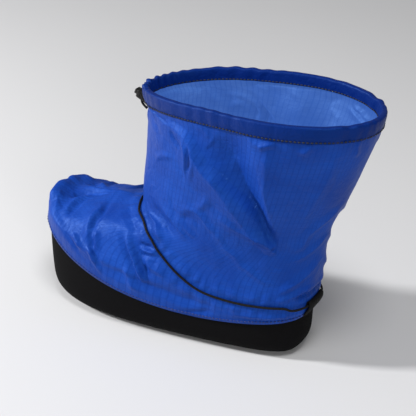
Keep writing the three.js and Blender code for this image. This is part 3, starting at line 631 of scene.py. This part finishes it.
footbed = smoothCopy("insole", "footbed", 2)
foamCloth, foamTree, foamShader = newMaterial("footbedFoam", (0.03, 0.03, 0.035), 0.9)
foamPlace = addNode(foamTree, "ShaderNodeTexCoord")
foamCells = addNode(foamTree, "ShaderNodeTexVoronoi", {"Scale": 650}, {"Vector": foamPlace.outputs["Object"]})
foamNap = addNode(foamTree, "ShaderNodeTexNoise", {"Scale": 1400, "Detail": 3},
                  {"Vector": foamPlace.outputs["Object"]})
foamHeight = math2(foamTree, "ADD", math2(foamTree, "MULTIPLY", foamCells.outputs["Distance"], 0.0003),
                   math2(foamTree, "MULTIPLY", foamNap.outputs["Fac"], 0.0002))
foamBump = addNode(foamTree, "ShaderNodeBump", {"Strength": 0.5, "Distance": 1}, {"Height": foamHeight})
foamTree.links.new(foamBump.outputs["Normal"], foamShader.inputs["Normal"])
paint(footbed, foamCloth)
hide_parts("insole")
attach(footbed, "shoe")
print("sole and footbed")

# Cords

cords = {
    "radius": 1.1,
    "pitch": 2.9,  # between the two strands in a lock
    "seat": 1.8,  # a route's middle above the shell
    "lie": 0.95,  # the same where the cord has sunk into the cloth
    "lockDepth": 8.6,
    "lockHeight": 12.5,
    "lockWidth": 10.6,
    "lockStand": 3.4,
    "tabMiddle": 2.3,  # the cord's middle off the heel, in the tab
    "tabPlace": 0.82,
    "tabEdge": 0.446,  # turn where the cord enters the tab
}


def inFrame(points, spot, sign=1):
    axes, origin = spot
    return (np.array(points, float) * (1, sign, 1)) @ axes.T + origin


ankleLock = frameAt(-0.05, shoe["ankle"], cords["seat"] + cords["lockStand"] + cords["lockDepth"] / 2)
mouth = frameAt(0.0, 11.5, 0)
droop = 1.0
across = cords["lockDepth"] / 2 * math.cos(droop) + cords["lockHeight"] / 2 * math.sin(droop)
down = cords["lockDepth"] / 2 * math.sin(droop)
turned = np.array([[math.cos(droop), 0, math.sin(droop)], [0, 1, 0], [-math.sin(droop), 0, math.cos(droop)]])
collarLock = (mouth[0] @ turned, mouth[1] + mouth[0] @ np.array([0.8 + 0.3 + across, 0, -4.5 - down]))


def strand(lock, tail, bend, bendFrame, sign):
    through = [(share * cords["lockDepth"], cords["pitch"] / 2, 0) for share in (0.5, 0, -0.5)]
    return [*inFrame(tail + through, lock, sign), *inFrame(bend, bendFrame, sign)]


def onShell(rows):
    turns, places, heights = np.array(rows, float).T
    return shellPoint(turns, places) + shellNormal(turns, places) * heights[:, None]


def ankleHalf(sign):
    tail = [(13.2, 7.6, 1.6), (10.6, 5.4, 1.2), (8, 3.4, 0.6), (6, 2, 0.2)]
    bend = [(-5.6, 1.7, 0), (-7, 2.8, 0)]
    start = -0.05 + sign * 0.045
    rows = [(start, 5.9, cords["seat"])]
    rows += [(sign * turn, place, cords["lie"]) for turn, place in ankleRoute[:-1] if turn > abs(start) + 0.02]
    rows += [(sign * cords["tabEdge"], cords["tabPlace"], cords["tabMiddle"]), (sign * 0.5, cords["tabPlace"], cords["tabMiddle"])]
    fine = curveThrough(np.array(rows) * (60, 1, 1), 44) / (60, 1, 1)
    return [*strand(ankleLock, tail, bend, ankleLock, sign), *onShell(fine)]


def collarHalf(sign):
    tail = [(8, 3.4, -9.4), (8.4, 2.6, -6.2), (8, 2, -3.4), (7, 1.6, -1.2), (5.6, 1.45, -0.1)]
    bend = [(5.6, 1.45, -2.6), (4.3, 1.5, -1), (2.6, 1.8, -0.1), (0.8, 2.4, 0.1), (-1.2, 3.4, 0)]
    rows = [(sign * turn, 11.5, -1.9) for turn in (0.02, 0.06, 0.12, 0.2, 0.3, 0.4, 0.5)]
    fine = curveThrough(np.array(rows) * (60, 1, 1), 40) / (60, 1, 1)
    return [*strand(collarLock, tail, bend, mouth, sign), *onShell(fine)]


def wholeCord(half):
    return np.array(half(1) + half(-1)[:-1][::-1])


def tube(name, route, radius, around, steps):
    # A round cord along the route, closed at its ends, with a map of turns around it by metres along it.
    line = curveThrough(route, steps)
    tangent = unit(np.gradient(line, axis=0))
    side = np.zeros_like(line)
    first = np.cross(tangent[0], (0.3, 0.5, 0.8))
    for i, t in enumerate(tangent):  # carries one side along without twist
        first = first - t * (first @ t)
        first = first / np.linalg.norm(first)
        side[i] = first
    other = np.cross(tangent, side)
    run = np.append(0, np.cumsum(np.linalg.norm(np.diff(line, axis=0), axis=1)))

    def tubeSheet(u, v):
        k = np.clip((v * (steps - 1)).round().astype(int), 0, steps - 1)
        toEnd = np.minimum(run[k], run[-1] - run[k])
        thick = radius * np.sqrt(np.clip(toEnd / (0.6 * radius), 0, 1)) * (1 + 0.3 * np.exp(-((toEnd - 0.8) / 1.0) ** 2))
        a = -u * 2 * math.pi
        return line[k] + (side[k] * np.cos(a)[:, None] + other[k] * np.sin(a)[:, None]) * thick[:, None]

    piece = loft(name, around, steps - 1, tubeSheet)
    stretchUv(piece, 1, run[-1] * 0.001)
    return piece


braid, braidTree, braidShader = newMaterial("braid", (0.003, 0.003, 0.0035), 0.6)
braidShader.inputs["Specular IOR Level"].default_value = 0.2
braidMap = addNode(braidTree, "ShaderNodeUVMap", uv_map="UVMap")
braidSplit = addNode(braidTree, "ShaderNodeSeparateXYZ", links={"Vector": braidMap.outputs["UV"]})
strands = []
for sign in (1, -1):
    turn = math2(braidTree, "MULTIPLY", braidSplit.outputs["X"], 4 * 2 * math.pi)
    rise = math2(braidTree, "MULTIPLY", braidSplit.outputs["Y"], sign * 2 * math.pi / 0.0034)
    strands.append(math2(braidTree, "SINE", math2(braidTree, "ADD", turn, rise), None))
weave = math2(braidTree, "MAXIMUM", *strands)
braidBump = addNode(braidTree, "ShaderNodeBump", {"Strength": 0.8, "Distance": 1}, {"Height": math2(braidTree, "MULTIPLY", weave, 0.00016)})
braidTree.links.new(braidBump.outputs["Normal"], braidShader.inputs["Normal"])
fleck = addNode(braidTree, "ShaderNodeMapRange", {"From Min": -1, "From Max": 1, "To Min": 0.5, "To Max": 0.8}, {"Value": weave})
braidTree.links.new(fleck.outputs["Result"], braidShader.inputs["Roughness"])

for name, half, node in (("ankleCord", ankleHalf, "ankle_cord"), ("collarCord", collarHalf, "collar_cord")):
    piece = tube(name, wholeCord(half), cords["radius"], 12, 520)
    flip(piece)
    paint(piece, braid)
    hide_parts(node)
    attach(piece, "shoe")
print("cords")

# Stitches: one is modelled and set out along each seam

seams = {
    "radius": 0.7,
    "length": 2.8,
    "pitch": 3.5,
}


def stitchShape():
    bpy.ops.object.select_all(action="DESELECT")
    bpy.ops.mesh.primitive_uv_sphere_add(segments=6, ring_count=5, radius=1)
    stitch = bpy.context.active_object
    bpy.ops.object.mode_set(mode="EDIT")
    bpy.ops.mesh.select_all(action="SELECT")
    bpy.ops.transform.resize(value=(seams["radius"], seams["radius"], seams["length"] / 2))
    bpy.ops.object.mode_set(mode="OBJECT")
    points = np.array([v.co[:] for v in stitch.data.vertices])
    faces = [tuple(p.vertices) for p in stitch.data.polygons]
    points[:, 1] += 0.25 * (1 - (points[:, 2] / (seams["length"] / 2)) ** 2)  # it rises between its two holes
    bpy.data.objects.remove(stitch)
    return points, faces


stitchPoints, stitchFaces = stitchShape()


def stitchRow(name, turns, places, height, lifts=None):
    # Stitches along a line given by dense turns and places, at a height over the cloth.
    points = shellPoint(turns, places)
    normals = shellNormal(turns, places)
    points = points + normals * ((clothLift(turns, places) if lifts is None else lifts) + height)[:, None]
    run = np.append(0, np.cumsum(np.linalg.norm(np.diff(points, axis=0), axis=1)))
    count = int(run[-1] / seams["pitch"])
    middles = (np.arange(count) + 0.5) * run[-1] / count
    def at(values, where):
        return np.stack([np.interp(where, run, values[:, k]) for k in range(3)], -1)
    centre = at(points, middles)
    out = unit(at(normals, middles))
    ahead = unit(at(points, middles + 1) - at(points, middles - 1))
    aside = np.cross(out, ahead)
    made = (centre[:, None] + aside[:, None] * stitchPoints[None, :, :1] + out[:, None] * stitchPoints[None, :, 1:2]
            + ahead[:, None] * stitchPoints[None, :, 2:3])
    mesh = bpy.data.meshes.new(name)
    faces = [tuple(i * len(stitchPoints) + v for v in face) for i in range(count) for face in stitchFaces]
    mesh.from_pydata((made.reshape(-1, 3) * 0.001).tolist(), [], faces)
    mesh.update()
    piece = bpy.data.objects.new(name, mesh)
    bpy.context.scene.collection.objects.link(piece)
    mesh.polygons.foreach_set("use_smooth", [True] * len(mesh.polygons))
    paint(piece, thread)
    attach(piece, "shoe")
    return piece


thread, threadTree, threadShader = newMaterial("thread", (0.002, 0.004, 0.014), 0.7)
sheen = addNode(threadTree, "ShaderNodeTexNoise", {"Scale": 2500, "Detail": 1}, {"Vector": addNode(threadTree, "ShaderNodeTexCoord").outputs["Object"]})
threadBump = addNode(threadTree, "ShaderNodeBump", {"Strength": 0.6, "Distance": 0.0002}, {"Height": sheen.outputs["Fac"]})
threadTree.links.new(threadBump.outputs["Normal"], threadShader.inputs["Normal"])

allRound = np.linspace(0, 1, 1400)
stitchRow("casingStitches", allRound, np.full(1400, 11.13), 1.0)
stitchRow("hemStitches", allRound, np.full(1400, 11.3), -4.85)
seamPlaces = []
for t in allRound:  # 3.5 mm up from the sole seam
    rise = np.linalg.norm(shellPoint(t, 0.3) - shellPoint(t, 0))
    seamPlaces.append(0.3 * 3.5 / rise)
stitchRow("soleStitches", allRound, np.array(seamPlaces), 0.1)
soleThread, soleThreadTree, soleThreadShader = newMaterial("soleThread", (0.002, 0.02, 0.16), 0.6)
soleThreadPlace = addNode(soleThreadTree, "ShaderNodeTexCoord")
soleTwist = addNode(soleThreadTree, "ShaderNodeTexNoise", {"Scale": 900, "Detail": 2},
                    {"Vector": soleThreadPlace.outputs["Object"]})
soleThreadBump = addNode(soleThreadTree, "ShaderNodeBump", {"Strength": 0.5, "Distance": 0.0002},
                         {"Height": soleTwist.outputs["Fac"]})
soleThreadTree.links.new(soleThreadBump.outputs["Normal"], soleThreadShader.inputs["Normal"])
paint(bpy.data.objects["soleStitches"], soleThread)
print("stitches")

# Heel tab

webbing, webbingTree, webbingShader = newMaterial("webbing", (0.0025, 0.0025, 0.0027), 0.7)
webbingShader.inputs["Specular IOR Level"].default_value = 0.15
webPlace = addNode(webbingTree, "ShaderNodeTexCoord")
ribs = addNode(webbingTree, "ShaderNodeTexWave", {"Scale": 260, "Distortion": 0.6, "Detail": 1}, {"Vector": webPlace.outputs["Object"]}, bands_direction="Z")
webBump = addNode(webbingTree, "ShaderNodeBump", {"Strength": 0.5, "Distance": 0.0004}, {"Height": ribs.outputs["Fac"]})
webbingTree.links.new(webBump.outputs["Normal"], webbingShader.inputs["Normal"])
tab = {
    "halfWidth": 20,
    "thick": 1.1,
    "path": [(0.1, 0.5), (0.2, 0.7), (0.36, 1.5), (0.52, 2.9), (0.68, 3.8), (0.82, 3.9), (0.92, 3.4), (0.97, 2.3),
             (0.93, 1.2), (0.82, 0.6), (0.66, 0.4)],
}


def tabSheet(u, v):  # the strip, wrapped up over the cord and back under it
    path = curveThrough(tab["path"], 200)
    k = np.clip((v * 199).round().astype(int), 0, 199)
    girth = np.linalg.norm(shellPoint(0.505, 0.6) - shellPoint(0.495, 0.6)) * 100
    turns = 0.5 + (u - 0.5) * 2 * tab["halfWidth"] / girth
    edge = np.abs(u - 0.5) * 2
    height = path[k, 1] - 0.5 * smooth((edge - 0.75) / 0.25) + 0.12 * np.sin(u * 60)
    return shellPoint(turns, path[k, 0]) + shellNormal(turns, path[k, 0]) * height[:, None]


heelTab = loft("heelTab", 40, 60, tabSheet, closed=False)
stretchUv(heelTab, 0.031, 0.05)
thickness = heelTab.modifiers.new("Solidify", "SOLIDIFY")
thickness.thickness = tab["thick"] * 0.001
thickness.offset = 1
rounded = heelTab.modifiers.new("Bevel", "BEVEL")
rounded.width = 0.0003
rounded.segments = 2
for finish in (thickness, rounded):
    bpy.ops.object.select_all(action="DESELECT")
    heelTab.select_set(True)
    bpy.context.view_layer.objects.active = heelTab
    bpy.ops.object.modifier_apply(modifier=finish.name)
paint(heelTab, webbing)
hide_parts("heel_tab")
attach(heelTab, "shoe")

# Cord locks, modelled about their middle and then set in place: x is the cords' way, z the button's way

locks = {
    "round": 1.8,
    "pocket": (5.2, 7.9),
    "floor": 1.4,
    "button": (4.6, 7.3),
    "proud": 3.0,
    "slot": (7.6, 3.4),
    "ribs": 4,
}

moulding, mouldTree, mouldShader = newMaterial("moulding", (0.006, 0.006, 0.006), 0.36)
spark = addNode(mouldTree, "ShaderNodeTexNoise", {"Scale": 1500, "Detail": 2}, {"Vector": addNode(mouldTree, "ShaderNodeTexCoord").outputs["Object"]})
mouldShader.inputs["Specular IOR Level"].default_value = 0.25
mouldBump = addNode(mouldTree, "ShaderNodeBump", {"Strength": 0.25, "Distance": 0.0002}, {"Height": spark.outputs["Fac"]})
mouldTree.links.new(mouldBump.outputs["Normal"], mouldShader.inputs["Normal"])


def block(name, size, middle, bevel, segments):
    bpy.ops.object.select_all(action="DESELECT")
    bpy.ops.mesh.primitive_cube_add(size=1, location=middle)
    piece = bpy.context.active_object
    piece.name = name
    piece.scale = size
    bpy.ops.object.transform_apply(location=True, rotation=False, scale=True)
    bpy.ops.object.mode_set(mode="EDIT")
    bpy.ops.mesh.select_all(action="SELECT")
    bpy.ops.mesh.bevel(offset=bevel, segments=segments, affect="EDGES")
    bpy.ops.object.mode_set(mode="OBJECT")
    return piece


def combine(piece, other, how):
    cut = piece.modifiers.new("Cut", "BOOLEAN")
    cut.operation = how
    cut.object = other
    cut.solver = "EXACT"
    bpy.ops.object.select_all(action="DESELECT")
    piece.select_set(True)
    bpy.context.view_layer.objects.active = piece
    bpy.ops.object.modifier_apply(modifier=cut.name)
    bpy.data.objects.remove(other)


def lockBody():
    depth, width, height = cords["lockDepth"], cords["lockWidth"], cords["lockHeight"]
    body = block("lockBody", (depth, width, height), (0, 0, 0), locks["round"], 5)
    for i in range(locks["ribs"]):  # grip ribs on both sides
        z = (i - (locks["ribs"] - 1) / 2) * 1.9 - 0.4
        for side in (-1, 1):
            combine(body, block("rib", (depth - 2.6, 0.9, 0.9), (0, side * width / 2, z), 0.35, 2), "UNION")
    combine(body, block("slot", (depth * 2, locks["slot"][0], locks["slot"][1]), (0, 0, 0), 1.4, 4), "DIFFERENCE")
    bottom = locks["floor"] - height / 2
    combine(body, block("pocket", (*locks["pocket"], height), (0, 0, bottom + height / 2), 0.5, 2), "DIFFERENCE")
    return body


def lockButton():
    top = cords["lockHeight"] / 2 + locks["proud"]
    bottom = locks["floor"] - cords["lockHeight"] / 2 + 2.1
    button = block("lockButton", (*locks["button"], top - bottom), (0, 0, (top + bottom) / 2), 0.8, 3)
    combine(button, block("slot", (30, locks["slot"][0], locks["slot"][1] + 1.8), (0, 0, 0.9), 1.2, 3), "DIFFERENCE")
    for x in (-1.3, 0, 1.3):  # thumb ribs on its end
        combine(button, block("rib", (0.55, 5.2, 0.7), (x, 0, top), 0.2, 2), "UNION")
    return button


def seat(piece, spot):  # millimetres in a lock's frame to metres on the shoe
    axes, origin = spot
    matrix = Matrix([[*(axes[k] * 0.001), origin[k] * 0.001] for k in range(3)] + [[0, 0, 0, 1]])
    piece.data.transform(matrix)
    piece.data.update()


bodyShape, buttonShape = lockBody(), lockButton()
for name, spot in (("ankle", ankleLock), ("collar", collarLock)):
    for kind, shape, body in (("Body", bodyShape, "shoe"), ("Button", buttonShape, f"{name}_button")):
        piece = bpy.data.objects.new(f"{name}Lock{kind}", shape.data.copy())
        bpy.context.scene.collection.objects.link(piece)
        seat(piece, spot)
        bpy.ops.object.select_all(action="DESELECT")
        piece.select_set(True)
        bpy.context.view_layer.objects.active = piece
        bpy.ops.object.shade_smooth_by_angle(angle=math.radians(35))
        paint(piece, moulding)
        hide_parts(f"{name}_lock_{kind.lower()}")
        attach(piece, body)
for shape in (bodyShape, buttonShape):
    bpy.data.objects.remove(shape)
print("tab and locks")

# Camera, floor and light

view = {
    "yaw": 31,
    "rise": 28,
    "distance": 1.1,
    "target": (-0.030, 0.0, 0.123),
    "lens": 100,
}
yaw, rise = math.radians(view["yaw"]), math.radians(view["rise"])
away = Vector((-math.sin(yaw) * math.cos(rise), math.cos(yaw) * math.cos(rise), math.sin(rise)))
bpy.ops.object.camera_add(location=Vector(view["target"]) + away * view["distance"])
camera = bpy.context.active_object
camera.rotation_euler = away.to_track_quat("Z", "Y").to_euler()
camera.data.lens = view["lens"]
camera.data.sensor_width = 36
bpy.context.scene.camera = camera

bpy.ops.mesh.primitive_plane_add(size=8)
floor = bpy.context.active_object
floor.name = "floor"
floorPaint, floorTree, floorShader = newMaterial("floorPaint", (0.62, 0.62, 0.63), 0.9)
paint(floor, floorPaint)

lamps = [
    ("key", (1.7, 0.95, 1.25), 61, 0.22),
    ("top", (-0.5, 0.5, 1.8), 15, 0.5),
    ("fill", (-1.4, 1.5, 0.8), 13, 0.6),
]
for name, spot, power, size in lamps:
    bpy.ops.object.light_add(type="AREA", location=spot)
    lamp = bpy.context.active_object
    lamp.name = name
    lamp.data.energy = power
    lamp.data.size = size
    lamp.rotation_euler = (Vector(spot) - Vector((-0.03, 0, 0.12))).to_track_quat("Z", "Y").to_euler()
world = bpy.context.scene.world or bpy.data.worlds.new("studio")
bpy.context.scene.world = world
world.use_nodes = True
world.node_tree.nodes["Background"].inputs["Color"].default_value = (1, 1, 1, 1)
world.node_tree.nodes["Background"].inputs["Strength"].default_value = 0.2
bpy.context.scene.view_settings.view_transform = "Standard"
